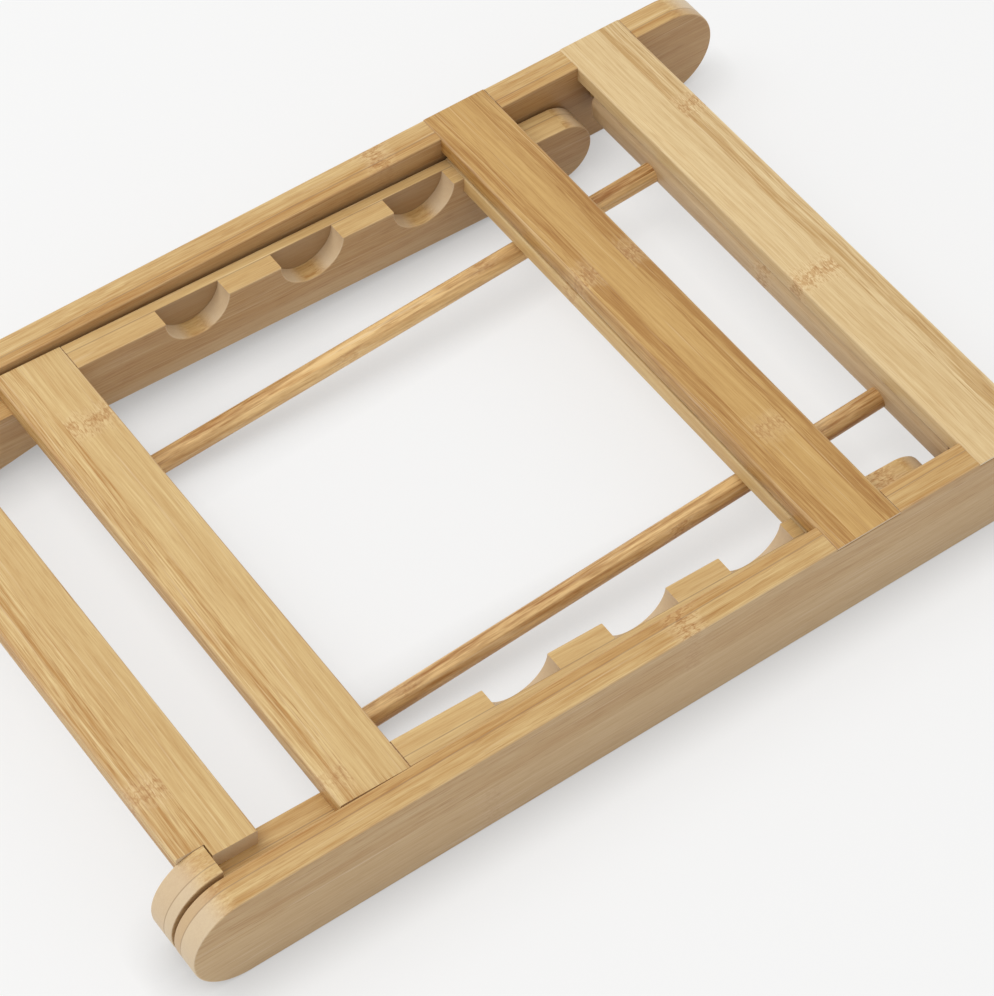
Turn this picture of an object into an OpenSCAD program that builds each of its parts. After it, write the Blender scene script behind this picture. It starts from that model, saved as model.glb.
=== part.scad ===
// Folding bookstand rack in laminated bamboo, shown folded flat.
//
// Three frames turn on wooden pins. The base is the inner frame with notched
// rails. The rest is the outer frame that a book leans on, hinged to the base
// at its round left end. The prop is pinned between the rest's rails under
// the upper slat, and its foot rod drops into the notches of the base.
//
// X runs along the rails from the hinge (left) to the head (right), Y across
// the stand, Z up. The table is Z = 0. All sizes are in millimetres.

/* [Rest frame] */

// Overall length of the rest's rails, round end to round end
rest_length = 376; // [360:1:400]
// Overall width across the rest's rails
frame_width = 240; // [220:1:260]
// Height of a rest rail, and so the diameter of its round ends
rest_rail_h = 40; // [39:0.5:42]
// Thickness of a rest rail
rest_rail_t = 11.5; // [10.5:0.5:13]
// Thickness of the outer ply of a rest rail
rest_ply_t = 7.6; // [6.5:0.1:8.4]
// Hinge axis to the near edge of the rest's lower slat
rest_slat_lower_x = 232.5; // [228:0.5:236]
// Hinge axis to the near edge of the rest's upper slat
rest_slat_upper_x = 293.6; // [290:0.5:298]

/* [Base frame] */

// Hinge axis to the end of the base rails
base_reach = 290; // [286:0.5:292]
// Height of a base rail
base_rail_h = 26.8; // [26:0.2:27.6]
// Thickness of a base rail
base_rail_t = 12; // [11.5:0.5:14]
// How far the folded base droops from level, in degrees
base_tilt = 2.35; // [2.2:0.05:2.5]
// Hinge axis to the point where the rail's deep hinge end has run out
base_taper_x = 59; // [54:1:61]
// Hinge axis back to the outer edge of the hinge slat
base_slat_hinge_x = 9.8; // [9:0.2:11]
// Hinge axis to the near edge of the front slat
base_slat_front_x = 43.4; // [42:0.2:48]
// End of the base rails back to the near edge of the back slat
base_slat_back_in = 57.5; // [56:0.5:60]
// How far the hinge slat's tongue reaches over each base rail's ledge
tongue_reach = 5; // [3:0.5:6]
// Gap between the hinge slat's tongue and the round end beside it
tongue_gap = 0.6; // [0.3:0.1:3]

/* [Notches] */

// Number of notches in each base rail
notch_count = 3; // [1:1:3]
// Hinge axis to the middle of the first notch
notch_first_x = 118.9; // [114:0.1:120]
// Distance from one notch to the next
notch_pitch = 48; // [46:0.5:49]
// Diameter of the round cutter that leaves a notch
notch_d = 26; // [25:0.5:27]
// Depth of a notch
notch_depth = 13; // [11:0.5:13]
// How far a notch is cut in from the rail's inner face
notch_cut = 7.8; // [7:0.1:8.4]

/* [Slats] */

// Width of every slat
slat_w = 27; // [25:0.5:28]
// Thickness of every slat
slat_t = 7; // [6:0.5:7.5]
// Radius along the long edges of a slat
slat_edge_r = 0.8; // [0.4:0.1:1]
// Thickness of the lip in which a rest slat runs out over the outer plies
slat_lip_t = 1.2; // [1:0.1:1.6]

/* [Prop] */

// End of the base rails to the prop's pivot bar, with the stand folded
prop_tip_gap = 5.3; // [5:0.1:6]
// Top of the rest down to the prop's pivot
prop_pivot_drop = 17; // [16.5:0.25:18]
// Width of the prop's pivot bar, along the rails
pivot_bar_w = 14.4; // [13.6:0.2:15]
// Height of the prop's pivot bar
pivot_bar_h = 15.6; // [15:0.2:16.4]
// Radius along the pivot bar's long edges
pivot_bar_r = 5; // [4.5:0.25:5.5]
// Hinge axis to the foot rod, with the stand folded
foot_x = 67; // [66:0.5:69]
// Diameter of the foot rod
foot_d = 10; // [9:0.2:10.2]
// Diameter of the two dowels that join the pivot bar to the foot rod
dowel_d = 8; // [7:0.2:8.2]
// Distance between the two dowels
dowel_spacing = 131; // [110:1:145]
// Diameter of the tenons that the dowels end in at the foot rod
tenon_d = 5; // [4:0.5:6]

/* [Pins] */

// Diameter of the two pins that hinge the rest to the base
hinge_pin_d = 8; // [6:0.5:10]
// Diameter of the two pins that carry the prop
prop_pin_d = 6; // [5:0.5:6.5]
// How deep a hinge pin sits in the rest's rail
hinge_pin_in_rest = 7.5; // [6:0.5:8.5]
// How deep a hinge pin sits in the base's rail
hinge_pin_in_base = 9; // [7:0.5:10]
// How deep a prop pin sits in the rest's rail
prop_pin_in_rest = 7.5; // [6:0.5:8.5]
// How deep a prop pin sits in the prop's pivot bar
prop_pin_in_prop = 16; // [12:1:24]

/* [Clearances] */

// Gap between a base rail and the rest rail beside it
rail_gap = 1.5; // [1:0.1:2.5]
// End play of the prop between the notch walls, at each end
prop_end_gap = 0.8; // [0.5:0.1:1.5]
// Running clearance round a turning pin, on the radius
pin_clear = 0.05; // [0.02:0.01:0.1]
// Glue line round a fixed pin or tenon, on the radius
glue_clear = 0.02; // [0.01:0.01:0.04]
// Room past the end of a pin in a blind hole it turns in
pin_end_gap = 0.5; // [0.3:0.1:1]
// Gap between the folded prop's dowels and the base's back slat
under_clear = 0.45; // [0.35:0.05:0.8]

/* [Hidden] */

eps = 0.01;
rod_fn = 64;

// The rest frame, about the hinge axis.
rest_r = rest_rail_h / 2;
hinge_x = -rest_length / 2 + rest_r;
hinge_z = rest_r;
head_x = rest_length / 2 - rest_r;
rest_in_y = frame_width / 2 - rest_rail_t;
rest_ply_y = frame_width / 2 - rest_ply_t;

// The base frame. Its rails nest inside the rest's rails.
base_out_y = rest_in_y - rail_gap;
base_in_y = base_out_y - base_rail_t;
base_tip_r = base_rail_h / 2;
base_tip_x = base_reach - base_tip_r;
base_low = rest_r - base_rail_h;   // underside of a base rail, from the hinge axis
base_slat_back_x = base_reach - base_slat_back_in;
recess_end_x = base_slat_front_x + slat_w;
notch_wall_y = base_in_y + notch_cut;

// The point where a line from the taper's end touches the round hinge end.
taper_d = sqrt(base_taper_x * base_taper_x + base_low * base_low);
taper_a = atan2(base_low, base_taper_x) - acos(rest_r / taper_d);

// The prop. Its dowels run from the foot rod, just under the lower corner of
// the base's back slat, to the pivot bar.
prop_half = notch_wall_y - prop_end_gap;
foot_dx = foot_x;
foot_dz = foot_d / 2 - rest_r;
pivot_dx = base_reach + prop_tip_gap + pivot_bar_w / 2;
pivot_dz = rest_r - prop_pivot_drop;
corner_lx = base_slat_back_x + slat_w;
corner_lz = rest_r - slat_t;
corner_dx = corner_lx * cos(base_tilt) + corner_lz * sin(base_tilt);
corner_dz = -corner_lx * sin(base_tilt) + corner_lz * cos(base_tilt);
corner_run = sqrt(pow(corner_dx - foot_dx, 2) + pow(corner_dz - foot_dz, 2));
dowel_a = atan2(corner_dz - foot_dz, corner_dx - foot_dx)
        - asin((dowel_d / 2 + under_clear) / corner_run);

// Seen along the dowels, from the foot rod: how far the pivot lies ahead of
// the foot rod, and how far it lies above the dowels.
prop_reach = (pivot_dx - foot_dx) * cos(dowel_a) + (pivot_dz - foot_dz) * sin(dowel_a);
prop_rise = -(pivot_dx - foot_dx) * sin(dowel_a) + (pivot_dz - foot_dz) * cos(dowel_a);
dowel_in_bar = pivot_bar_w - 3;
tenon_in_foot = foot_d - 3;

// Which piece to draw

module bamboo_gold() { color([0.80, 0.56, 0.29]) children(); }
module bamboo_brown() { color([0.66, 0.40, 0.19]) children(); }
module bamboo_pale() { color([0.86, 0.66, 0.40]) children(); }

// ---- shared shapes ---------------------------------------------------------

// A round rod along Y from y0 to y1.
module rod_y(x, z, d, y0, y1) {
  translate([x, y0, z]) rotate([-90, 0, 0])
    cylinder(d = d, h = y1 - y0, $fn = rod_fn);
}

// A block given by its ranges.
module block(x0, x1, y0, y1, z0, z1) {
  translate([x0, y0, z0]) cube([x1 - x0, y1 - y0, z1 - z0]);
}

// A board along Y with its long edges rounded.
module board_y(x0, w, z_top, t, y0, y1, r) {
  translate([x0 + w / 2, y1, z_top - t / 2]) rotate([90, 0, 0])
    linear_extrude(y1 - y0) offset(r = r, $fn = 32) offset(delta = -r)
      square([w, t], center = true);
}

// Everything of the rest is drawn from the hinge axis.
module on_rest() { translate([hinge_x, 0, hinge_z]) children(); }

// The base is drawn level from the hinge axis, and droops by base_tilt.
module on_base() {
  translate([hinge_x, 0, hinge_z]) rotate([0, base_tilt, 0]) children();
}

// The prop is drawn from its foot rod, with the dowels level.
module on_prop() {
  translate([hinge_x + foot_dx, 0, hinge_z + foot_dz]) rotate([0, -dowel_a, 0])
    children();
}

// ---- rest frame --------------------------------------------------------------

// One rest rail, for the side with y above 0. Blind holes take the hinge pin
// and the prop pin. Two housings are cut through the inner ply for the slats,
// and run on over the outer ply just deep enough for the slats' lips.
module rest_rail() {
  on_rest() difference() {
    union() {
      block(0, head_x - hinge_x, rest_in_y, frame_width / 2, -rest_r, rest_r);
      rod_y(0, 0, rest_rail_h, rest_in_y, frame_width / 2);
      rod_y(head_x - hinge_x, 0, rest_rail_h, rest_in_y, frame_width / 2);
    }
    rod_y(0, 0, hinge_pin_d + 2 * glue_clear, rest_in_y - 1,
          rest_in_y + hinge_pin_in_rest);
    rod_y(pivot_dx, pivot_dz, prop_pin_d + 2 * glue_clear, rest_in_y - 1,
          rest_in_y + prop_pin_in_rest);
    for (x = [rest_slat_lower_x, rest_slat_upper_x]) {
      block(x, x + slat_w, rest_in_y - 1, rest_ply_y, rest_r - slat_t, rest_r + 1);
      block(x, x + slat_w, rest_in_y - 1, frame_width / 2 + 1,
            rest_r - slat_lip_t, rest_r + 1);
    }
  }
}

module rest_slat(x) {
  on_rest() {
    board_y(x, slat_w, rest_r, slat_t, -rest_ply_y, rest_ply_y, slat_edge_r);
    intersection() {
      board_y(x, slat_w, rest_r, slat_t, -frame_width / 2, frame_width / 2,
              slat_edge_r);
      block(x, x + slat_w, -frame_width / 2, frame_width / 2,
            rest_r - slat_lip_t, rest_r);
    }
  }
}

// ---- base frame --------------------------------------------------------------

// One notched rail, for the side with y above 0. The hinge end is as tall as
// the rest, and tapers up to leave the foot rod its room under the rail. From
// the hinge axis to the far side of the front slat its top is cut down by a
// slat's thickness, and the hinge slat and the front slat stand on that ledge.
module base_rail() {
  on_base() difference() {
    union() {
      block(0, base_tip_x, base_in_y, base_out_y, base_low, rest_r);
      rod_y(0, 0, rest_rail_h, base_in_y, base_out_y);
      rod_y(base_tip_x, rest_r - base_tip_r, base_rail_h, base_in_y, base_out_y);
      translate([0, base_out_y, 0]) rotate([90, 0, 0])
        linear_extrude(base_rail_t) polygon([
          [0, 0],
          [rest_r * cos(taper_a), rest_r * sin(taper_a)],
          [base_taper_x, base_low],
          [base_taper_x, 0]
        ]);
    }
    rod_y(0, 0, hinge_pin_d + 2 * pin_clear, base_out_y - hinge_pin_in_base - pin_end_gap,
          base_out_y + 1);
    for (i = [0 : notch_count - 1])
      rod_y(notch_first_x + i * notch_pitch, rest_r - notch_depth + notch_d / 2,
            notch_d, base_in_y - 1, notch_wall_y);
    // The ledge, and a lap for the back slat.
    block(0, recess_end_x, base_in_y - 1, base_out_y + 1, rest_r - slat_t, rest_r + 1);
    block(base_slat_back_x, base_slat_back_x + slat_w, base_in_y - 1, base_out_y + 1,
          rest_r - slat_t, rest_r + 1);
  }
}

module base_slat_lapped(x) {
  on_base() board_y(x, slat_w, rest_r, slat_t, -base_out_y, base_out_y, slat_edge_r);
}

// The hinge slat stands between the round ends, with a tongue on each ledge.
module base_slat_tongued() {
  on_base() {
    board_y(-base_slat_hinge_x, slat_w, rest_r, slat_t, -base_in_y, base_in_y,
            slat_edge_r);
    intersection() {
      board_y(-base_slat_hinge_x, slat_w, rest_r, slat_t, -base_in_y - tongue_reach,
              base_in_y + tongue_reach, slat_edge_r);
      block(tongue_gap, slat_w, -base_in_y - tongue_reach, base_in_y + tongue_reach,
            rest_r - slat_t, rest_r);
    }
  }
}

// ---- prop --------------------------------------------------------------------

// The bar under the upper slat. Its edges are rounded so that it can turn there.
module pivot_bar() {
  on_prop() difference() {
    board_y(prop_reach - pivot_bar_w / 2, pivot_bar_w, prop_rise + pivot_bar_h / 2,
            pivot_bar_h, -prop_half, prop_half, pivot_bar_r);
    for (s = [-1, 1]) {
      translate([prop_reach - pivot_bar_w / 2 - 1, s * dowel_spacing / 2, 0])
        rotate([0, 90, 0])
          cylinder(d = dowel_d + 2 * glue_clear, h = dowel_in_bar + 1, $fn = rod_fn);
      rod_y(prop_reach, prop_rise, prop_pin_d + 2 * pin_clear,
            s > 0 ? prop_half - prop_pin_in_prop - pin_end_gap : -prop_half - 1,
            s > 0 ? prop_half + 1 : -prop_half + prop_pin_in_prop + pin_end_gap);
    }
  }
}

// A dowel, turned down to a tenon at the foot rod.
module prop_dowel(side) {
  on_prop() translate([0, side * dowel_spacing / 2, 0]) rotate([0, 90, 0]) {
    translate([0, 0, foot_d / 2])
      cylinder(d = dowel_d, h = prop_reach - pivot_bar_w / 2 + dowel_in_bar - foot_d / 2,
               $fn = rod_fn);
    translate([0, 0, foot_d / 2 - tenon_in_foot])
      cylinder(d = tenon_d, h = tenon_in_foot + eps, $fn = rod_fn);
  }
}

// The rod that drops into the notches, drilled for the dowels' tenons.
module foot_rod() {
  on_prop() difference() {
    rod_y(0, 0, foot_d, -prop_half, prop_half);
    for (s = [-1, 1])
      translate([foot_d / 2 - tenon_in_foot, s * dowel_spacing / 2, 0])
        rotate([0, 90, 0])
          cylinder(d = tenon_d + 2 * glue_clear, h = foot_d, $fn = rod_fn);
  }
}

// ---- pins, for the side with y above 0 ----------------------------------------

module hinge_pin() {
  on_rest() rod_y(0, 0, hinge_pin_d, base_out_y - hinge_pin_in_base,
                  rest_in_y + hinge_pin_in_rest);
}

module prop_pin() {
  on_rest() rod_y(pivot_dx, pivot_dz, prop_pin_d, prop_half - prop_pin_in_prop,
                  rest_in_y + prop_pin_in_rest);
}

// ---- one module per piece ------------------------------------------------------

module rest_rail_near() { bamboo_gold() mirror([0, 1, 0]) rest_rail(); }
module rest_rail_far() { bamboo_gold() rest_rail(); }
module rest_slat_lower() { bamboo_pale() rest_slat(rest_slat_lower_x); }
module rest_slat_upper() { bamboo_pale() rest_slat(rest_slat_upper_x); }
module base_rail_near() { bamboo_brown() mirror([0, 1, 0]) base_rail(); }
module base_rail_far() { bamboo_brown() base_rail(); }
module base_slat_hinge() { bamboo_pale() base_slat_tongued(); }
module base_slat_front() { bamboo_pale() base_slat_lapped(base_slat_front_x); }
module base_slat_back() { bamboo_pale() base_slat_lapped(base_slat_back_x); }
module prop_pivot_bar() { bamboo_brown() pivot_bar(); }
module prop_dowel_near() { bamboo_gold() prop_dowel(-1); }
module prop_dowel_far() { bamboo_gold() prop_dowel(1); }
module prop_foot_rod() { bamboo_gold() foot_rod(); }
module hinge_pin_near() { bamboo_brown() mirror([0, 1, 0]) hinge_pin(); }
module hinge_pin_far() { bamboo_brown() hinge_pin(); }
module prop_pin_near() { bamboo_brown() mirror([0, 1, 0]) prop_pin(); }
module prop_pin_far() { bamboo_brown() prop_pin(); }

rest_rail_near();
rest_rail_far();
rest_slat_lower();
rest_slat_upper();
base_rail_near();
base_rail_far();
base_slat_hinge();
base_slat_front();
base_slat_back();
prop_pivot_bar();
prop_dowel_near();
prop_dowel_far();
prop_foot_rod();
hinge_pin_near();
hinge_pin_far();
prop_pin_near();
prop_pin_far();
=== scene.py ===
# %% [markdown]
# # A folding bookstand in laminated bamboo
# The stand lies folded flat. A wide outer frame, the rest, carries the book.
# A notched inner frame, the base, is hinged to it at the round left end, and
# a prop of two dowels hangs under the head. We load the measured solids first.
# Then we give every stick of bamboo its softened edges, plies and grain.

# %% Load the measured parts
from math import acos, asin, atan2, cos, hypot, pi, radians, sin

import bmesh
import bpy
from mathutils import Matrix, Vector


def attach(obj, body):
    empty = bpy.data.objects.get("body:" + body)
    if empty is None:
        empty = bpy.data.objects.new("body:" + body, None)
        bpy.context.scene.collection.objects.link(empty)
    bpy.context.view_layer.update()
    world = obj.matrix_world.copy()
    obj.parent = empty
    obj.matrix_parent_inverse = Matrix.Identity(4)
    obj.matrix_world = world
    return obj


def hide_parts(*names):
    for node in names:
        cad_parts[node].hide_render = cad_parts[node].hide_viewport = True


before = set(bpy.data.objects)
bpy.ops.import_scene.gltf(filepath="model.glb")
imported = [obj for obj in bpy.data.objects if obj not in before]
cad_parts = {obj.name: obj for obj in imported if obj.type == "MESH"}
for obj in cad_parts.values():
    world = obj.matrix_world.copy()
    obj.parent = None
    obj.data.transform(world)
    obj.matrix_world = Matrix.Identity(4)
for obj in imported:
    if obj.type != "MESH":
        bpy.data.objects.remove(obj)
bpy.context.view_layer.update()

# %% [markdown]
# ## Camera and studio
# A product photograph like this is taken with a long lens, so that the rails
# stay nearly parallel. We could aim a camera by eye. Here its place and turn
# were worked out from the edges of the slats, so it is set as a matrix:
# the columns are its right, up and backward directions.

# %% Camera
camera_data = bpy.data.cameras.new("long_lens")
camera_data.sensor_fit = "HORIZONTAL"
camera_data.sensor_width = 36.0
camera_data.lens = 131.65
camera_data.clip_end = 20.0
camera = bpy.data.objects.new("camera", camera_data)
camera_place = Vector((-0.43765, -0.64737, 0.99583))
camera_turn = Matrix(((0.81556, 0.46087, -0.34995),
                      (-0.57862, 0.64113, -0.50413),
                      (-0.00797, 0.61363, 0.78955)))
camera.matrix_world = Matrix.Translation(camera_place) @ camera_turn.to_4x4()
bpy.context.collection.objects.link(camera)
bpy.context.scene.camera = camera
print("camera is", round(camera_place.length, 3), "m from the stand's centre")

# %% [markdown]
# ## A helper for nodes
# The world and every material are trees of nodes. To add, set and join a node
# takes three or four lines, so a small helper does it in one. Its short names,
# plus, minus and times, keep the sums further down readable.

# %% Wiring
class Wiring:
    """Adds nodes to a tree and joins them, with fewer words."""
    def __init__(self, tree):
        self.tree = tree

    def add(self, kind, **settings):
        node = self.tree.nodes.new(kind)
        for key, value in settings.items():
            setattr(node, key, value)
        return node

    def join(self, source, target):
        self.tree.links.new(source, target)

    def feed(self, target, value):
        """Joins a socket to the target, or sets the target to a plain value."""
        if isinstance(value, bpy.types.NodeSocket):
            self.join(value, target)
        else:
            target.default_value = value

    def math(self, operation, *values, clamp=False):
        node = self.add("ShaderNodeMath", operation=operation, use_clamp=clamp)
        for socket, value in zip(node.inputs, values):
            self.feed(socket, value)
        return node.outputs[0]

    def plus(self, a, b, clamp=False):
        return self.math("ADD", a, b, clamp=clamp)

    def minus(self, a, b):
        return self.math("SUBTRACT", a, b)

    def times(self, a, b):
        return self.math("MULTIPLY", a, b)

    def over(self, a, b):
        return self.math("DIVIDE", a, b)

    def size(self, a):
        return self.math("ABSOLUTE", a)

print("helper:", Wiring.__name__)

# %% [markdown]
# Bamboo also needs noise, soft steps and mixed colours. These are kept in a
# second helper that grows out of the first.

# %% Wiring for paint
class PaintWiring(Wiring):
    """Wiring with the nodes that a painted surface needs."""
    def combine(self, x, y, z):
        node = self.add("ShaderNodeCombineXYZ")
        for socket, value in zip(node.inputs, (x, y, z)):
            self.feed(socket, value)
        return node.outputs[0]

    def split(self, vector):
        node = self.add("ShaderNodeSeparateXYZ")
        self.join(vector, node.inputs[0])
        return list(node.outputs)

    def noise(self, vector, detail=2.0, roughness=0.5):
        node = self.add("ShaderNodeTexNoise")
        for key, value in (("Vector", vector), ("Scale", 1.0), ("Detail", detail),
                           ("Roughness", roughness)):
            self.feed(node.inputs[key], value)
        return node.outputs["Fac"]

    def luck(self, vector):
        """A random number from 0 to 1 that is always the same for the same vector."""
        node = self.add("ShaderNodeTexWhiteNoise", noise_dimensions="3D")
        self.join(vector, node.inputs["Vector"])
        return node.outputs["Value"]

    def ramp(self, value, low, high, out_low=0.0, out_high=1.0):
        """A soft step from out_low to out_high as the value goes from low to high."""
        node = self.add("ShaderNodeMapRange", interpolation_type="SMOOTHSTEP")
        for key, number in (("Value", value), ("From Min", low), ("From Max", high),
                            ("To Min", out_low), ("To Max", out_high)):
            self.feed(node.inputs[key], number)
        return node.outputs["Result"]

    def mix(self, fac, a, b, blend_type="MIX"):
        node = self.add("ShaderNodeMix", data_type="RGBA", blend_type=blend_type)
        for key, value in ((0, fac), (6, a), (7, b)):
            self.feed(node.inputs[key], value)
        return node.outputs[2]

    def stain(self, fac, colour, tone):
        """Darkens a colour by a tone, as a stain or a glaze does."""
        return self.mix(fac, colour, tone, "MULTIPLY")

print("helper:", PaintWiring.__name__)

# %% [markdown]
# ## Floor, world and lamp
# The floor is one plain sheet, a hair below the table plane, so that the rails'
# undersides and the floor don't flicker through each other.

# %% Floor sheet
def make_floor(size=6.0, height=-0.0002):
    bm = bmesh.new()
    bmesh.ops.create_grid(bm, x_segments=1, y_segments=1, size=size / 2)
    bmesh.ops.translate(bm, verts=bm.verts, vec=(0, 0, height))
    mesh = bpy.data.meshes.new("floor")
    bm.to_mesh(mesh)
    bm.free()
    floor = bpy.data.objects.new("floor", mesh)
    bpy.context.collection.objects.link(floor)
    return floor

floor = make_floor()
print("floor has", len(floor.data.polygons), "face")

# %% [markdown]
# A white world fills the shadows, as the white walls of a small studio do, and
# one large lamp overhead gives them their direction. The world shows itself to
# the camera a little brighter than it shines on the wood. So the background is
# as white as the page, and the wood isn't overlit.

# %% Lamp and world
PAPER_WHITE, SKY_LIGHT = 0.93, 0.78
LAMP_PLACE, LAMP_SIZE, LAMP_WATTS = (-0.9, 0.9, 2.0), 1.6, 19

def add_lamp(name, place, size, watts):
    """A round soft lamp that looks at the stand's centre."""
    data = bpy.data.lights.new(name, "AREA")
    data.shape = "DISK"
    data.size = size
    data.energy = watts
    lamp = bpy.data.objects.new(name, data)
    lamp.location = place
    lamp.rotation_euler = (-Vector(place)).to_track_quat("-Z", "Y").to_euler()
    bpy.context.collection.objects.link(lamp)

def seen_by_camera(w):
    """1 for rays from the camera, also through gloss or glass, and 0 for light."""
    path = w.add("ShaderNodeLightPath").outputs
    seen = path["Is Camera Ray"]
    for other in ("Is Glossy Ray", "Is Transmission Ray"):
        seen = w.math("MAXIMUM", seen, path[other])
    return seen

def make_world():
    world = bpy.data.worlds.new("studio")
    world.use_nodes = True
    w = Wiring(world.node_tree)
    sky = world.node_tree.nodes["Background"].inputs
    sky["Color"].default_value = (1, 1, 1, 1)
    w.join(w.math("MULTIPLY_ADD", seen_by_camera(w), PAPER_WHITE - SKY_LIGHT, SKY_LIGHT),
           sky["Strength"])
    return world

add_lamp("overhead_softbox", LAMP_PLACE, LAMP_SIZE, LAMP_WATTS)
bpy.context.scene.world = make_world()
bpy.context.scene.view_settings.view_transform = "Standard"
print("lamps:", len(bpy.data.lights), "worlds:", len(bpy.data.worlds))

# %% [markdown]
# In a shop photograph the floor is almost as white as the page. So to the
# camera the floor is mostly a flat white, with the real shadow mixed in. The
# narrow dark line where wood almost touches the floor would be lost in that
# white, so the white itself is dimmed where something stands close by. Towards
# the wood it stays an ordinary floor.

# %% Floor paint
CHALK, PAPER_TINT = (0.89, 0.90, 0.915, 1), (1.0, 0.995, 0.985, 1)
PAPER_SHARE = 0.72
CONTACT_REACH, CONTACT_SHADE = 0.018, 0.60

def make_floor_paint():
    paint = bpy.data.materials.new("white_floor")
    paint.use_nodes = True
    w = Wiring(paint.node_tree)
    chalk = paint.node_tree.nodes["Principled BSDF"]
    chalk.inputs["Base Color"].default_value = CHALK
    chalk.inputs["Roughness"].default_value = 0.9
    chalk.inputs["Specular IOR Level"].default_value = 0.0
    near = w.add("ShaderNodeAmbientOcclusion")
    near.inputs["Distance"].default_value = CONTACT_REACH
    paper = w.add("ShaderNodeEmission")
    paper.inputs["Color"].default_value = PAPER_TINT
    w.join(w.math("MULTIPLY_ADD", near.outputs["AO"], PAPER_WHITE * CONTACT_SHADE,
                  PAPER_WHITE * (1 - CONTACT_SHADE)), paper.inputs["Strength"])
    blend = w.add("ShaderNodeMixShader")
    for socket, value in zip(blend.inputs, (w.times(seen_by_camera(w), PAPER_SHARE),
                                            chalk.outputs[0], paper.outputs[0])):
        w.join(value, socket)
    w.join(blend.outputs[0], paint.node_tree.nodes["Material Output"].inputs["Surface"])
    return paint

floor.data.materials.append(make_floor_paint())
print("floor paint:", floor.data.materials[0].name)

# %% [markdown]
# ## Sizes
# All sizes are in millimetres, as a maker would write them, and are turned
# into metres at the very end. Three points matter most: the hinge axis at the
# round left end, the droop of the base about it, and the prop's pivot.

# %% Sizes in millimetres
MM = 0.001
HINGE_X, HINGE_Z = -168.0, 20.0
HALF_WIDTH = 120.0
REST_RAIL_T, REST_RAIL_H, REST_CENTRES = 11.5, 40.0, 336.0
REST_SEAM, LIP_T, LIP_SHADOW = HALF_WIDTH - 7.6, 1.2, 0.4
BASE_OUT, BASE_IN = 107.0, 95.0
BASE_RAIL_H, BASE_REACH, BASE_TAPER_X = 26.8, 290.0, 59.0
BASE_TILT = radians(2.35)
SLAT_W, SLAT_T, SLAT_EDGE = 27.0, 7.0, 0.8
REST_SLATS = {"rest_slat_lower": 232.5, "rest_slat_upper": 293.6}
BASE_SLATS = {"base_slat_front": 43.4, "base_slat_back": 232.5}
HINGE_SLAT_X, TONGUE_GAP, TONGUE_REACH = -9.8, 0.6, 5.0
LEDGE_END = BASE_SLATS["base_slat_front"] + SLAT_W
NOTCH_X, NOTCH_R, NOTCH_WALL = (118.9, 166.9, 214.9), 13.0, 102.8
PIVOT_X, PIVOT_Z = 302.5, 3.0
PIVOT_BAR_W, PIVOT_BAR_H, PIVOT_BAR_R, PROP_HALF = 14.4, 15.6, 5.0, 102.0
FOOT_X, FOOT_Z = 67.0, -15.0
DOWEL_R, DOWEL_GAP = 4.0, 0.45
REST_EASE, BASE_EASE, BAR_EASE, LIP_EASE = 0.6, 0.5, 0.6, 0.6
SAME_PLACE, NEARBY = 1e-4, 0.1
SHARP_FROM = radians(28)
print("folded stand:", REST_CENTRES + REST_RAIL_H, "x", 2 * HALF_WIDTH, "x", REST_RAIL_H)

# %% [markdown]
# ## Tools for sticks of wood
# Every stick is an outline pushed along Y, like a board cut on a router.
# The outline is drawn as a chain: straight steps add a vertex, and arcs spin
# the last one round a centre. A real maker then eases the sharp edges with
# sandpaper. The bevel operator does that here, and its faces are marked, so
# that the finish can paint them paler: partly rubbed wood, partly a painted
# edge highlight.

# %% Draw and push an outline
def edges_of(verts):
    """The edges at these vertices, once each and always in the same order."""
    return list(dict.fromkeys(edge for vert in verts for edge in vert.link_edges))

def draw_outline(bm, start, moves, y):
    """A closed face in the plane at y.

    A move is (x, z) for a straight step, or (centre x, centre z, degrees, steps) for an arc.
    """
    first = bm.verts.new((start[0], y, start[1]))
    chain, tip = [first], first
    for move in moves:
        if len(move) == 2:
            new = [bm.verts.new((move[0], y, move[1]))]
            bm.edges.new((tip, new[0]))
        else:
            centre_x, centre_z, turn, steps = move
            before = set(bm.verts)
            spun = bmesh.ops.spin(bm, geom=[tip], cent=(centre_x, y, centre_z),
                                  axis=(0, -1, 0), angle=radians(turn), steps=steps)
            last = spun["geom_last"][0]
            new = [v for v in bm.verts if v not in before and v is not last] + [last]
        chain += new
        tip = new[-1]
    if (tip.co - first.co).length > SAME_PLACE:
        bm.edges.new((tip, first))
    else:
        bmesh.ops.weld_verts(bm, targetmap={tip: first})
        chain.pop()
    return bmesh.ops.contextual_create(bm, geom=edges_of(chain))["faces"][0]

def push(bm, face, depth):
    """Extrudes a face along Y and leaves a closed prism."""
    made = bmesh.ops.extrude_face_region(bm, geom=[face], use_keep_orig=True)["geom"]
    verts = [g for g in made if isinstance(g, bmesh.types.BMVert)]
    bmesh.ops.translate(bm, verts=verts, vec=(0, depth, 0))

def ease_edges(bm, edges, width, segments=3):
    """Rounds the chosen edges and marks the new faces, which are painted paler as rubbed wood and as
    an edge highlight.
    """
    worn_and_highlit = bm.faces.layers.float.get("worn_and_highlit") or bm.faces.layers.float.new("worn_and_highlit")
    made = bmesh.ops.bevel(bm, geom=edges, offset=width, offset_type="OFFSET",
                           affect="EDGES", segments=segments, profile=0.5,
                           clamp_overlap=True, material=-1)
    for face in made["faces"]:
        face[worn_and_highlit] = 1.0

print("tools:", draw_outline.__name__, push.__name__, ease_edges.__name__)

# %% [markdown]
# A finished stick is moved to its place, scaled to metres, shaded smooth over
# its curves but not over its corners, and tied to the frame that it moves with.
# The bevel may list its new faces in another order each time, so the points
# and faces are first sorted by their place. Every run then gives the same mesh.

# %% Finish a stick
PLACE_DIGITS = 6

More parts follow.
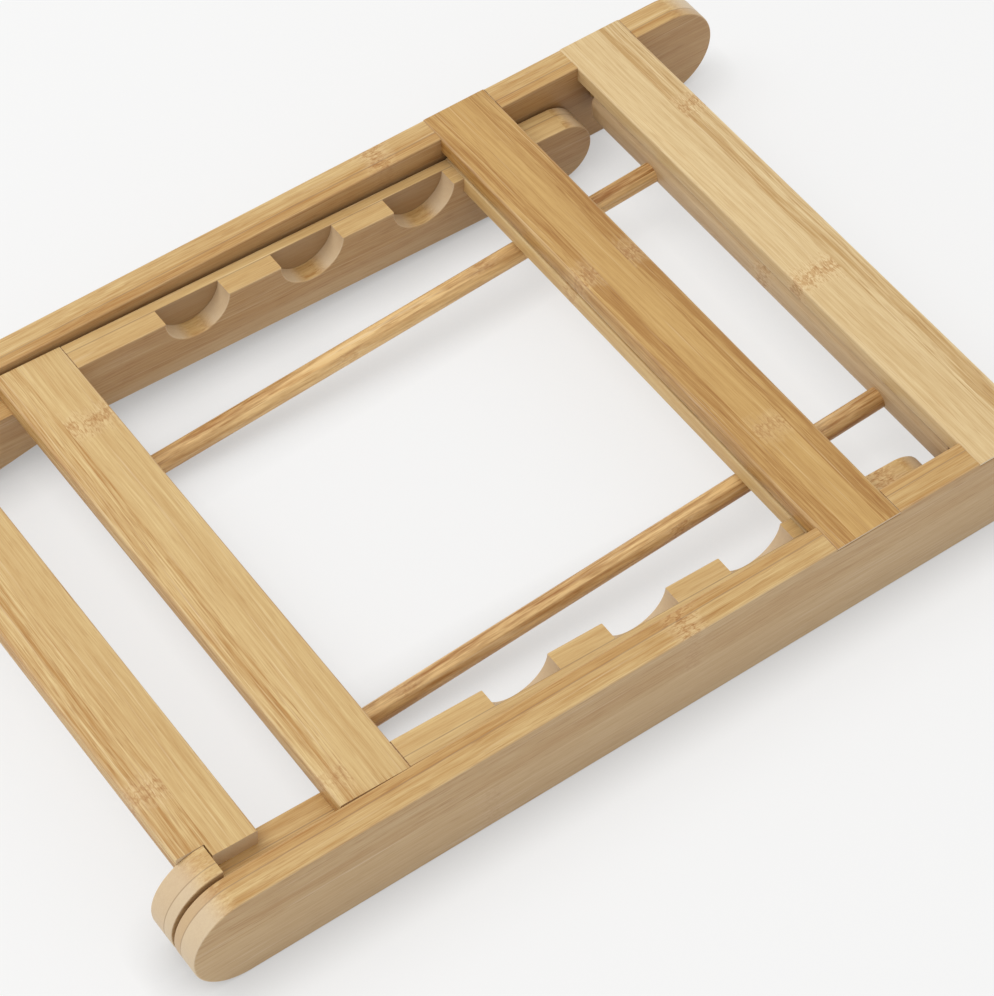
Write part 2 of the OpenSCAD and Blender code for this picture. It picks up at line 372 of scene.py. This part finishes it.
def in_order(elements, place):
    """Sorts a mesh's points or faces by their place, to the micrometre."""
    ranked = sorted(elements, key=lambda element: place(element).to_tuple(PLACE_DIGITS))
    for rank, element in enumerate(ranked):
        element.index = rank
    elements.sort()

def finish_stick(bm, name, body, place=Matrix.Identity(4)):
    bmesh.ops.recalc_face_normals(bm, faces=bm.faces)
    bmesh.ops.transform(bm, matrix=Matrix.Scale(MM, 4) @ place, verts=bm.verts)
    for face in bm.faces:
        face.smooth = True
    for edge in bm.edges:
        edge.smooth = len(edge.link_faces) == 2 and edge.calc_face_angle(0) < SHARP_FROM
    in_order(bm.verts, lambda vert: vert.co)
    in_order(bm.faces, lambda face: face.calc_center_median())
    mesh = bpy.data.meshes.new(name)
    bm.to_mesh(mesh)
    bm.free()
    stick = bpy.data.objects.new("bamboo_" + name, mesh)
    bpy.context.collection.objects.link(stick)
    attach(stick, body)
    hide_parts(name)
    print(name, len(mesh.polygons), "faces")
    return stick

at_hinge = Matrix.Translation((HINGE_X, 0, HINGE_Z))
on_rest = at_hinge
on_base = at_hinge @ Matrix.Rotation(BASE_TILT, 4, "Y")
sticks = {}
print("hinge axis at x", HINGE_X, "z", HINGE_Z, "mm")

# %% [markdown]
# ## The rest's two long rails
# Each rail is two plies glued side by side and cut to a long shape with fully
# round ends. The slats' housings go right through the inner ply. Over the
# outer ply they are only as deep as the thin lip a slat ends in, so no slat
# end shows on the outer face. We draw one outline for each ply.

# %% Rest rails
R = REST_RAIL_H / 2
ROUND_STEPS, NOTCH_STEPS = 48, 32

def cut(x0, x1, depth):
    """The moves round a square cut in a rail's top, from right to left."""
    return [(x1, R), (x1, R - depth), (x0, R - depth), (x0, R)]

def rest_rail_outline(housing):
    moves = [(REST_CENTRES, -R), (REST_CENTRES, 0, 180, ROUND_STEPS)]
    for x in sorted(REST_SLATS.values(), reverse=True):
        moves += cut(x, x + SLAT_W, housing)
    return (0, -R), moves + [(0, R), (0, 0, 180, ROUND_STEPS)]

print("rest rail outline:", len(rest_rail_outline(SLAT_T)[1]), "moves")

# %% [markdown]
# Both kinds of rail are made in the same way: push each layer's outline, then
# ease the edges of the two broad faces. Edges inside a cut stay sharp, because
# a slat is let in there and its seam has to stay tight.

# %% Rails from layers
def on_plane(edge, y):
    return all(abs(v.co.y - y) < SAME_PLACE for v in edge.verts)

def face_edges(bm, y, cuts):
    """The edges of a rail's broad face at y, leaving out those inside the cuts."""
    chosen = []
    for edge in bm.edges:
        middle = (edge.verts[0].co + edge.verts[1].co) / 2
        hidden = middle.z > R / 4 and any(x0 - NEARBY < middle.x < x1 + NEARBY for x0, x1 in cuts)
        if on_plane(edge, y) and not hidden:
            chosen.append(edge)
    return chosen

def make_rail(name, side, layers, cuts, ease, body, place):
    """A rail of layers, each with its two distances from the middle plane and its outline."""
    bm = bmesh.new()
    for y0, y1, outline in layers:
        push(bm, draw_outline(bm, *outline, side * y0), side * (y1 - y0))
    faces_at = (side * layers[0][0], side * layers[-1][1])
    ease_edges(bm, [edge for y in faces_at for edge in face_edges(bm, y, cuts)], ease)
    sticks[name] = finish_stick(bm, name, body, place)

rest_layers = [(HALF_WIDTH - REST_RAIL_T, REST_SEAM, rest_rail_outline(SLAT_T)),
               (REST_SEAM, HALF_WIDTH, rest_rail_outline(LIP_T))]
rest_cuts = [(x, x + SLAT_W) for x in REST_SLATS.values()]
for name, side in (("rest_rail_near", -1), ("rest_rail_far", 1)):
    make_rail(name, side, rest_layers, rest_cuts, REST_EASE, "rest", on_rest)

# %% [markdown]
# ## The base's notched rails
# This is the part that takes the most care. The hinge end is as tall as the
# rest's rail, and tapers up to leave room for the prop's foot underneath. A
# long ledge is cut in the top for two slats. The three notches are what a
# round cutter leaves when it comes in from the inner face and stops short of
# the outer one. So the rail is two layers, one with notches and one without.

# %% Base rails
LOW = R - BASE_RAIL_H
TIP_R = BASE_RAIL_H / 2
TIP_X = BASE_REACH - TIP_R
TAPER_TURN = atan2(LOW, BASE_TAPER_X) - acos(R / hypot(BASE_TAPER_X, LOW))
BACK_X = BASE_SLATS["base_slat_back"]
HINGE_STEPS = 72

def base_rail_outline(notches):
    start = (R * cos(TAPER_TURN), R * sin(TAPER_TURN))
    moves = [(BASE_TAPER_X, LOW), (TIP_X, LOW), (TIP_X, R - TIP_R, 180, ROUND_STEPS)]
    moves += cut(BACK_X, BACK_X + SLAT_W, SLAT_T)
    if notches:
        for x in reversed(NOTCH_X):
            moves += [(x + NOTCH_R, R), (x, R, -180, NOTCH_STEPS)]
    moves += cut(0, LEDGE_END, SLAT_T)
    back = 360 - 90 + TAPER_TURN * 180 / pi
    return start, moves + [(0, 0, back, HINGE_STEPS)]

base_layers = [(BASE_IN, NOTCH_WALL, base_rail_outline(True)),
               (NOTCH_WALL, BASE_OUT, base_rail_outline(False))]
base_cuts = [(BACK_X, BACK_X + SLAT_W), (0, LEDGE_END)]
for name, side in (("base_rail_near", -1), ("base_rail_far", 1)):
    make_rail(name, side, base_layers, base_cuts, BASE_EASE, "base", on_base)

# %% [markdown]
# ## Slats
# A slat is a flat board with eased long edges. Those of the rest thin out to
# a lip at each end. The front and back slats of the base run right across its
# rails. The hinge slat stands between the round ends, and only a tongue of it
# reaches over each ledge.

# %% Slats
def long_edges(verts):
    return [e for e in edges_of(verts) if abs(e.verts[0].co.x - e.verts[1].co.x) < SAME_PLACE
            and abs(e.verts[0].co.z - e.verts[1].co.z) < SAME_PLACE]

def board(bm, x, y, z, ease=SLAT_EDGE, segments=3, only=None):
    """A board given by its ranges, with its long edges eased where only() allows."""
    verts = bmesh.ops.create_cube(bm, size=1.0)["verts"]
    bmesh.ops.scale(bm, verts=verts, vec=(x[1] - x[0], y[1] - y[0], z[1] - z[0]))
    middle = [(a + b) / 2 for a, b in (x, y, z)]
    bmesh.ops.translate(bm, verts=verts, vec=middle)
    edges = [e for e in long_edges(verts) if only is None or only(e.verts[0].co)]
    ease_edges(bm, edges, ease, segments)

def make_slat(name, x, half, body, place, lip=None):
    bm = bmesh.new()
    board(bm, (x, x + SLAT_W), (-half, half), (R - SLAT_T, R))
    for side in (-1, 1) if lip else ():
        y = sorted((side * half, side * lip))
        board(bm, (x, x + SLAT_W), y, (R - LIP_T + LIP_SHADOW, R), LIP_EASE, segments=2,
              only=lambda co: co.z > R - NEARBY)
    sticks[name] = finish_stick(bm, name, body, place)

for name, x in REST_SLATS.items():
    make_slat(name, x, REST_SEAM, "rest", on_rest, lip=HALF_WIDTH)
for name, x in BASE_SLATS.items():
    make_slat(name, x, BASE_OUT, "base", on_base)

# %% [markdown]
# The hinge slat is three boards in one. Its tongues start a little inside the
# round end's shoulder, so that a thin seam shows there, as it does in the photo.

# %% Hinge slat with its tongues
def make_hinge_slat(name):
    bm = bmesh.new()
    right = HINGE_SLAT_X + SLAT_W
    board(bm, (HINGE_SLAT_X, right), (-BASE_IN, BASE_IN), (R - SLAT_T, R))
    for side in (-1, 1):
        y = sorted((side * BASE_IN, side * (BASE_IN + TONGUE_REACH)))
        board(bm, (TONGUE_GAP, right), y, (R - SLAT_T, R), only=lambda co: co.x > right - NEARBY)
    sticks[name] = finish_stick(bm, name, "base", on_base)

make_hinge_slat("base_slat_hinge")

# %% [markdown]
# ## The prop's pivot bar
# The bar turns under the upper slat, so its four long edges are well rounded.
# Its dowels and pins are already round in the measured solids, and stay as
# they are: they only need their wood.

# %% Pivot bar
def prop_turn():
    """The slope of the prop's dowels: just under the back slat's lower corner."""
    x, z = BASE_SLATS["base_slat_back"] + SLAT_W, R - SLAT_T
    corner_x = x * cos(BASE_TILT) + z * sin(BASE_TILT) - FOOT_X
    corner_z = -x * sin(BASE_TILT) + z * cos(BASE_TILT) - FOOT_Z
    return atan2(corner_z, corner_x) - asin((DOWEL_R + DOWEL_GAP) / hypot(corner_x, corner_z))

PROP_TURN = prop_turn()

def make_pivot_bar(name):
    bm = bmesh.new()
    board(bm, (-PIVOT_BAR_W / 2, PIVOT_BAR_W / 2), (-PROP_HALF, PROP_HALF),
          (-PIVOT_BAR_H / 2, PIVOT_BAR_H / 2), PIVOT_BAR_R, segments=8)
    ends = [e for e in bm.edges if on_plane(e, PROP_HALF) or on_plane(e, -PROP_HALF)]
    ease_edges(bm, ends, BAR_EASE)
    at_pivot = at_hinge @ Matrix.Translation((PIVOT_X, 0, PIVOT_Z))
    place = at_pivot @ Matrix.Rotation(-PROP_TURN, 4, "Y")
    sticks[name] = finish_stick(bm, name, "prop", place)

make_pivot_bar("prop_pivot_bar")
print("dowels slope", round(PROP_TURN * 180 / pi, 2), "degrees")

# %% [markdown]
# ## Bamboo
# A bamboo board is a row of narrow strips glued edge to edge. Each strip has
# its own tone, hair-fine dark fibres along its length, and a knuckle every
# so often, where the fibres bunch into short dashes. An image could show one
# piece of it. A node group does it for every stick, at its true size, and each
# stick gets its own offset so that no two look alike.
#
# The group is built in small steps. The first finds the strip that a point is
# in. Every place is in millimetres, with the grain along the first axis.

# %% Strips
SHEET_START, SHEET_DEPTH = 500.0, 13.0

def find_strip(w, inlet):
    """Where a point lies in the row of strips, and what sets its strip apart."""
    along, across, deep = w.split(inlet["Place"])
    strip = w.math("FLOOR", w.over(across, inlet["Strip width"]))
    sheet = w.math("FLOOR", w.over(w.plus(deep, SHEET_START), SHEET_DEPTH))
    luck = w.luck(w.combine(strip, sheet, inlet["Offset"]))
    odd = w.times(w.math("FRACT", w.times(strip, 0.5)), 2.0)
    return {"along": along, "across": across, "deep": deep, "strip": strip, "luck": luck,
            "odd": odd, "darker": w.times(odd, inlet["Odd strips"])}

print("a new sheet of strips every", SHEET_DEPTH, "mm")

# %% [markdown]
# Noise that is drawn out along the grain looks like fibres. Luck shifts it from
# strip to strip, so the marks don't match across a glued joint. It also wanders
# sideways by a few millimetres, because a cane is never quite straight.

# %% Marks along the grain
SHIFT_BY_LUCK, SHIFT_BY_STICK = 900.0, 77.0
WANDER_RATE, WANDER_WIDTH = 0.012, 3.0

def grain_marks(w, inlet, at):
    """Gives a function that draws marks about so long and so wide, in mm."""
    shift = w.plus(w.times(at["luck"], SHIFT_BY_LUCK), w.times(inlet["Offset"], SHIFT_BY_STICK))
    along = w.plus(at["along"], shift)
    wander = w.noise(w.combine(w.times(along, WANDER_RATE), at["strip"], 0.0), detail=1.0)
    drift = w.plus(w.times(wander, WANDER_WIDTH), w.times(at["along"], inlet["Slant"]))
    across = w.plus(at["across"], drift)

    def marks(length, width, detail=2.0, roughness=0.5):
        wide = w.times(inlet["Coarseness"], width)
        place = w.combine(w.over(along, length), w.over(across, wide), w.over(at["deep"], wide))
        return w.noise(place, detail, roughness)
    return marks

print("marks shift by up to", SHIFT_BY_LUCK, "mm from strip to strip")

# %% [markdown]
# Three sizes of marks make the tone between the pale and the deep colour. Every
# other strip is darker and streakier. Over that come hair-fine dark fibres, a
# few dark streaks and some pale streaks that are a painted sheen. Each kind of
# mark is given by its length and width in millimetres, and some also by their
# detail and roughness.

# %% Tone and fibres
FINE, MIDDLE, BROAD = (17.0, 0.48, 3.0, 0.65), (60.0, 1.3), (160.0, 5.0, 1.0)
HAIRS, STREAKS, SHEEN = (9.0, 0.42, 1.0), (75.0, 1.0), (60.0, 0.7)
TONE_SHARES = 0.40, 0.34, 0.26
HAIR_TONE, STREAK_TONE = (0.66, 0.50, 0.34, 1), (0.80, 0.61, 0.40, 1)
SHEEN_TONE = (0.90, 0.74, 0.48, 1)

def grain_tone(w, inlet, at, marks, fine):
    """0 for the pale colour, 1 for the deep one."""
    parts = [w.times(w.ramp(noise, 0.3, 0.7), share)
             for noise, share in zip((fine, marks(*MIDDLE), marks(*BROAD)), TONE_SHARES)]
    tone = w.plus(w.plus(parts[0], parts[1]), parts[2])
    swing = w.times(inlet["Contrast"], w.plus(0.52, w.times(at["darker"], 2.2)))
    swing = w.times(swing, w.minus(1.0, w.times(inlet["Broad face"], 0.40)))
    tone = w.plus(w.times(w.minus(tone, 0.5), swing), w.plus(0.32, w.times(at["luck"], 0.16)))
    return w.plus(tone, at["darker"], clamp=True)

def add_fibres(w, at, marks, hairs, colour):
    hair = w.times(hairs, w.plus(0.26, w.times(at["darker"], 0.8)))
    colour = w.stain(hair, colour, HAIR_TONE)
    streak = w.times(w.ramp(marks(*STREAKS), 0.58, 0.74),
                     w.plus(0.30, w.times(at["darker"], 1.6), clamp=True))
    colour = w.stain(streak, colour, STREAK_TONE)
    # Pale streaks along the grain: a painted sheen.
    return w.mix(w.times(w.ramp(marks(*SHEEN), 0.60, 0.74), 0.26), colour, SHEEN_TONE)

print("tone shares add up to", round(sum(TONE_SHARES), 2))

# %% [markdown]
# A knuckle is a mottled patch across one strip with a ragged darker seam in it.
# Neighbouring strips have theirs at another place, and some are faint. On the
# broad flat faces of the rails they hardly show.

# %% Knuckles
KNUCKLE_TONE, SPECK_TONE = (0.84, 0.64, 0.36, 1), (0.68, 0.50, 0.30, 1)
SEAM_TONE = (0.68, 0.48, 0.28, 1)
NEIGHBOUR_SHIFT, RAGGED = 0.35, 14.0

def knuckle_place(w, inlet, at):
    """The distance from the nearest knuckle, in mm, and how strong that knuckle is."""
    cell = w.minus(w.over(w.minus(at["along"], inlet["Knuckle at"]), inlet["Knuckle spacing"]),
                   w.times(at["odd"], NEIGHBOUR_SHIFT))
    number = w.math("ROUND", cell)
    away = w.size(w.times(w.minus(cell, number), inlet["Knuckle spacing"]))
    luck = w.luck(w.combine(number, at["strip"], w.plus(inlet["Offset"], 5.0)))
    faint = w.minus(1.0, w.times(inlet["Broad face"], 0.75))
    return away, w.times(w.ramp(luck, 0.0, 1.0, 0.45, 1.0), faint)

def add_knuckles(w, inlet, at, colour):
    """The colour with its knuckles, and the mask of their dark specks."""
    along, across, deep = at["along"], at["across"], at["deep"]
    away, strong = knuckle_place(w, inlet, at)
    ragged = w.noise(w.combine(w.times(along, 0.30), w.times(across, 0.55),
                               w.plus(w.times(deep, 0.55), inlet["Offset"])), detail=3.0)
    dashes = w.noise(w.combine(w.times(along, 0.45), w.times(across, 2.4), w.times(deep, 2.4)))
    reach = w.plus(away, w.times(w.minus(ragged, 0.5), RAGGED))
    patch = w.times(w.ramp(reach, 2.0, 9.0, 1.0, 0.0), strong)
    seam = w.times(w.ramp(w.size(w.plus(reach, -1.0)), 0.3, 1.6, 1.0, 0.0), strong)
    speck = w.times(patch, w.ramp(dashes, 0.50, 0.62))
    colour = w.mix(w.times(patch, 0.30), colour, KNUCKLE_TONE)
    colour = w.stain(w.times(speck, 0.74), colour, SPECK_TONE)
    return w.stain(w.times(seam, 0.58), colour, SEAM_TONE), speck

print("neighbouring knuckles lie", NEIGHBOUR_SHIFT, "of a spacing apart")

# %% [markdown]
# Where a stick is cut across, the fibres show as small dots in a pale ground.

# %% End grain
END_GROUND, END_DOT = (0.75, 0.68, 0.58, 1), (0.40, 0.25, 0.12, 1)
DOTS_PER_MM = 2.4

def end_grain(w, inlet):
    dots = w.add("ShaderNodeTexVoronoi")
    dots.inputs["Scale"].default_value = DOTS_PER_MM
    w.join(inlet["Place"], dots.inputs["Vector"])
    dot = w.ramp(dots.outputs["Distance"], 0.12, 0.42, 1.0, 0.0)
    wood = w.mix(0.40, inlet["Pale"], inlet["Deep"])
    return w.mix(w.times(dot, 0.12), w.mix(0.46, wood, END_GROUND), END_DOT)

print("fibre dots:", DOTS_PER_MM, "per mm")

# %% [markdown]
# Now the steps are put together in one group with named sockets. It gives a
# colour, a roughness and a height. The flat-on faces are calmer than the edges
# of the strips and get a painted grey shade. Rubbed edges are painted a little
# paler, partly as worn wood and partly as a painted edge highlight.

# %% The bamboo group
FLAT_FACE_SHADE, RUBBED_AND_HIGHLIT = (0.855, 0.875, 1.08, 1), (0.93, 0.78, 0.56, 1)
BAMBOO_SOCKETS = {"Place": "Vector", "Pale": "Color", "Deep": "Color", "Strip width": "Float",
                  "Knuckle spacing": "Float", "Knuckle at": "Float", "Offset": "Float",
                  "Contrast": "Float", "Odd strips": "Float", "Slant": "Float",
                  "Coarseness": "Float", "Broad face": "Float", "End grain": "Float",
                  "Worn and highlit": "Float"}

def open_group(name, inputs, outputs):
    """An empty group with its named sockets, and the wiring to fill it with."""
    group = bpy.data.node_groups.new(name, "ShaderNodeTree")
    for way, sockets in (("INPUT", inputs), ("OUTPUT", outputs)):
        for label, kind in sockets.items():
            group.interface.new_socket(name=label, in_out=way, socket_type="NodeSocket" + kind)
    w = PaintWiring(group)
    return group, w, w.add("NodeGroupInput").outputs, w.add("NodeGroupOutput").inputs

def make_bamboo_group():
    group, w, inlet, outlet = open_group("bamboo strips", BAMBOO_SOCKETS, {
        "Color": "Color", "Roughness": "Float", "Height": "Float"})
    at = find_strip(w, inlet)
    marks = grain_marks(w, inlet, at)
    fine = marks(*FINE)
    hairs = w.ramp(marks(*HAIRS), 0.57, 0.69)
    colour = w.mix(grain_tone(w, inlet, at, marks, fine), inlet["Pale"], inlet["Deep"])
    colour = add_fibres(w, at, marks, hairs, colour)
    colour, speck = add_knuckles(w, inlet, at, colour)
    # Broad side faces are painted greyer and darker: a painted shade.
    colour = w.stain(inlet["Broad face"], colour, FLAT_FACE_SHADE)
    colour = w.mix(w.times(inlet["End grain"], 0.85), colour, end_grain(w, inlet))
    # Eased edges are painted paler: partly rubbed wood, partly a painted edge highlight.
    colour = w.mix(w.times(inlet["Worn and highlit"], 0.10), colour, RUBBED_AND_HIGHLIT)
    w.join(colour, outlet["Color"])
    w.join(w.plus(0.40, w.times(fine, 0.16)), outlet["Roughness"])
    sunk = w.plus(w.times(hairs, 0.35), w.times(speck, 0.25))
    w.join(w.minus(w.times(fine, 0.7), sunk), outlet["Height"])
    return group

bamboo_group = make_bamboo_group()
print("bamboo group has", len(bamboo_group.nodes), "nodes")

# %% [markdown]
# A second group tells the two plies of a rail apart. It compares the distance
# from the stand's middle plane with the glue line, tints the inner ply browner,
# and draws the glue line itself as a hair of dark.

# %% Plies as a node group
GLUE = (0.30, 0.18, 0.09, 1)

def make_ply_group():
    group, w, inlet, outlet = open_group("two plies", {
        "Color": "Color", "Out": "Float", "Seam": "Float", "Inner tint": "Color"}, {"Color": "Color"})
    inside = w.minus(inlet["Seam"], inlet["Out"])
    inner = w.stain(1.0, inlet["Color"], inlet["Inner tint"])
    colour = w.mix(w.ramp(inside, -0.1, 0.1), inlet["Color"], inner)
    line = w.ramp(w.size(inside), 0.06, 0.34, 1.0, 0.0)
    w.join(w.mix(w.times(line, 0.62), colour, GLUE), outlet["Color"])
    return group

ply_group = make_ply_group()
print("ply group has", len(ply_group.nodes), "nodes")

# %% [markdown]
# Each stick's material turns object coordinates into millimetres with the
# grain along the first axis, so one group serves rails, slats and dowels. The
# direction a face looks in tells whether it is end grain or a broad face.

# %% Places and faces
TO_MM = 1000
END_ON, FLAT_ON = (0.15, 0.60), (0.75, 0.98)
GRAIN_AXES = {"X": (0, 2, 1), "Y": (1, 0, 2)}

def grain_place(w, point, grain, tilt, start):
    """The place along, across and into a stick, and its distance from the middle plane."""
    turned = w.add("ShaderNodeMapping")
    turned.inputs["Rotation"].default_value = (0, -tilt, 0)
    turned.inputs["Scale"].default_value = (TO_MM, TO_MM, TO_MM)
    w.join(point, turned.inputs["Vector"])
    xyz = w.split(turned.outputs[0])
    along, across, deep = (xyz[axis] for axis in GRAIN_AXES[grain])
    return w.combine(along, w.minus(across, start), deep), w.size(xyz[1])

def face_masks(w, normal, grain, broad):
    """How far a face is end grain, and how far it is a broad side."""
    xyz = w.split(normal)
    return (w.ramp(w.size(xyz[GRAIN_AXES[grain][0]]), *END_ON),
            w.ramp(w.size(xyz[1]), *FLAT_ON, 0.0, broad))

print("the grain can run along", " or ".join(GRAIN_AXES))

# %% [markdown]
# The finish is a thin satin lacquer. Every stick sets only what is special
# about it, and the rest comes from the values in the first line.

# %% The bamboo material
GOLD = {"pale": (0.735, 0.535, 0.245), "deep": (0.47, 0.245, 0.066)}
SATIN = {"Specular IOR Level": 0.4, "Coat Weight": 0.08, "Coat Roughness": 0.35}
BUMP_STRENGTH, BUMP_HEIGHT = 0.25, 0.00012

def bamboo(name, grain="X", pale=GOLD["pale"], deep=GOLD["deep"], strip=20.0, start=0.0,
           spacing=230.0, knuckle=0.0, offset=0.0, contrast=1.3, odd=0.12, slant=0.012,
           coarse=1.0, broad=0.0, tilt=0.0, plies=None, tint=(0.88, 0.79, 0.67)):
    material = bpy.data.materials.new(name)
    material.use_nodes = True
    w = PaintWiring(material.node_tree)
    shader = material.node_tree.nodes["Principled BSDF"].inputs
    where = w.add("ShaderNodeTexCoord").outputs
    place, out = grain_place(w, where["Object"], grain, tilt, start)
    end_on, flat_on = face_masks(w, where["Normal"], grain, broad)
    worn_and_highlit = w.add("ShaderNodeAttribute", attribute_name="worn_and_highlit").outputs["Fac"]
    strips = w.add("ShaderNodeGroup", node_tree=bamboo_group)
    for key, value in (("Place", place), ("Pale", (*pale, 1)), ("Deep", (*deep, 1)),
                       ("Strip width", strip), ("Knuckle spacing", spacing),
                       ("Knuckle at", knuckle), ("Offset", offset), ("Contrast", contrast),
                       ("Odd strips", odd), ("Slant", slant), ("Coarseness", coarse),
                       ("Broad face", flat_on), ("End grain", end_on), ("Worn and highlit", worn_and_highlit)):
        w.feed(strips.inputs[key], value)
    colour = strips.outputs["Color"]
    if plies:
        ply = w.add("ShaderNodeGroup", node_tree=ply_group)
        for key, value in (("Color", colour), ("Out", out), ("Seam", plies),
                           ("Inner tint", (*tint, 1))):
            w.feed(ply.inputs[key], value)
        colour = ply.outputs["Color"]
    bump = w.add("ShaderNodeBump")
    bump.inputs["Strength"].default_value = BUMP_STRENGTH
    bump.inputs["Distance"].default_value = BUMP_HEIGHT
    w.join(strips.outputs["Height"], bump.inputs["Height"])
    w.join(colour, shader["Base Color"])
    w.join(strips.outputs["Roughness"], shader["Roughness"])
    w.join(bump.outputs[0], shader["Normal"])
    for key, value in SATIN.items():
        shader[key].default_value = value
    return material

print("satin lacquer:", SATIN)

# %% [markdown]
# ## Give every stick its wood
# The rails come first. Their broad faces get a painted grey shade, their strips
# run level with the rail, and the glue line lies where the plies meet.

# %% Rails
FAINT = (0.97, 0.94, 0.90)

def dress(name, material):
    """Gives a rebuilt stick, or else the measured solid, its material."""
    if name in sticks:
        sticks[name].data.materials.clear()
        sticks[name].data.materials.append(material)
    else:
        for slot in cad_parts[name].material_slots:
            slot.material = material

for name, offset, knuckle in (("rest_rail_near", 1, -75), ("rest_rail_far", 2, -40)):
    dress(name, bamboo(name + "_wood", offset=offset, knuckle=knuckle, start=1, broad=1,
                       plies=REST_SEAM))
for name, offset, knuckle in (("base_rail_near", 3, 100), ("base_rail_far", 4, 70)):
    dress(name, bamboo(name + "_wood", offset=offset, knuckle=knuckle, start=-7, broad=1,
                       tilt=BASE_TILT, plies=NOTCH_WALL, tint=FAINT))
print("materials:", len(bpy.data.materials))

# %% [markdown]
# The slats are what the eye reads first, so each one follows the photo: its
# left edge, the width of its strips, how far the first one is cut away, where
# its main knuckle lies, how its grain slants, and its tones.

# %% Slats' wood
HONEY = {"pale": (0.635, 0.40, 0.138), "deep": (0.40, 0.195, 0.045)}
CREAM = {"pale": (0.79, 0.605, 0.325), "deep": (0.53, 0.325, 0.12)}
SLAT_LOOKS = {"rest_slat_lower": (64.5, 12.0, 16.0, -66, 0.020, HONEY),
              "rest_slat_upper": (125.6, 17.5, 0.0, -21, 0.006, CREAM),
              "base_slat_front": (-124.7, 17.0, 23.7, 72, -0.018, GOLD),
              "base_slat_back": (64.3, 12.0, 0.0, 30, 0.0, GOLD),
              "base_slat_hinge": (-177.8, 14.0, 15.0, 101, -0.014, GOLD)}
for number, (name, look) in enumerate(SLAT_LOOKS.items()):
    left, strip, skipped, knuckle, slant, tones = look
    dress(name, bamboo(name + "_wood", grain="Y", strip=strip, start=left - skipped, spacing=260,
                       knuckle=knuckle, offset=11 + 3 * number, contrast=1.5, odd=0.24,
                       slant=slant, **tones))
print("slats dressed:", len(SLAT_LOOKS))

# %% [markdown]
# The turned pieces are toasted a little darker, and their fibres are coarser,
# because a lathe cuts through them at a slant. A strip wider than the piece
# leaves no joint in it.

# %% Prop and pins
TOAST = {"pale": (0.84, 0.57, 0.255), "deep": (0.38, 0.17, 0.042)}
NO_JOINT, COARSE = 30, 2.2
dress("prop_pivot_bar", bamboo("pivot_bar_wood", grain="Y", strip=7, offset=31,
                               pale=(0.70, 0.53, 0.31), deep=(0.46, 0.28, 0.12)))
for name, offset, knuckle in (("prop_dowel_near", 41, 40), ("prop_dowel_far", 42, -6)):
    dress(name, bamboo(name + "_wood", strip=NO_JOINT, start=-NO_JOINT / 2, offset=offset,
                       spacing=170, contrast=2.4, coarse=COARSE, slant=0.03, knuckle=knuckle,
                       tilt=-PROP_TURN, **TOAST))
dress("prop_foot_rod", bamboo("foot_rod_wood", grain="Y", strip=NO_JOINT, offset=51,
                              coarse=COARSE, **TOAST))
pin_wood = bamboo("pin_wood", grain="Y", strip=NO_JOINT, offset=61, deep=(0.38, 0.22, 0.09))
for name in ("hinge_pin_near", "hinge_pin_far", "prop_pin_near", "prop_pin_far"):
    dress(name, pin_wood)
print("materials:", len(bpy.data.materials))
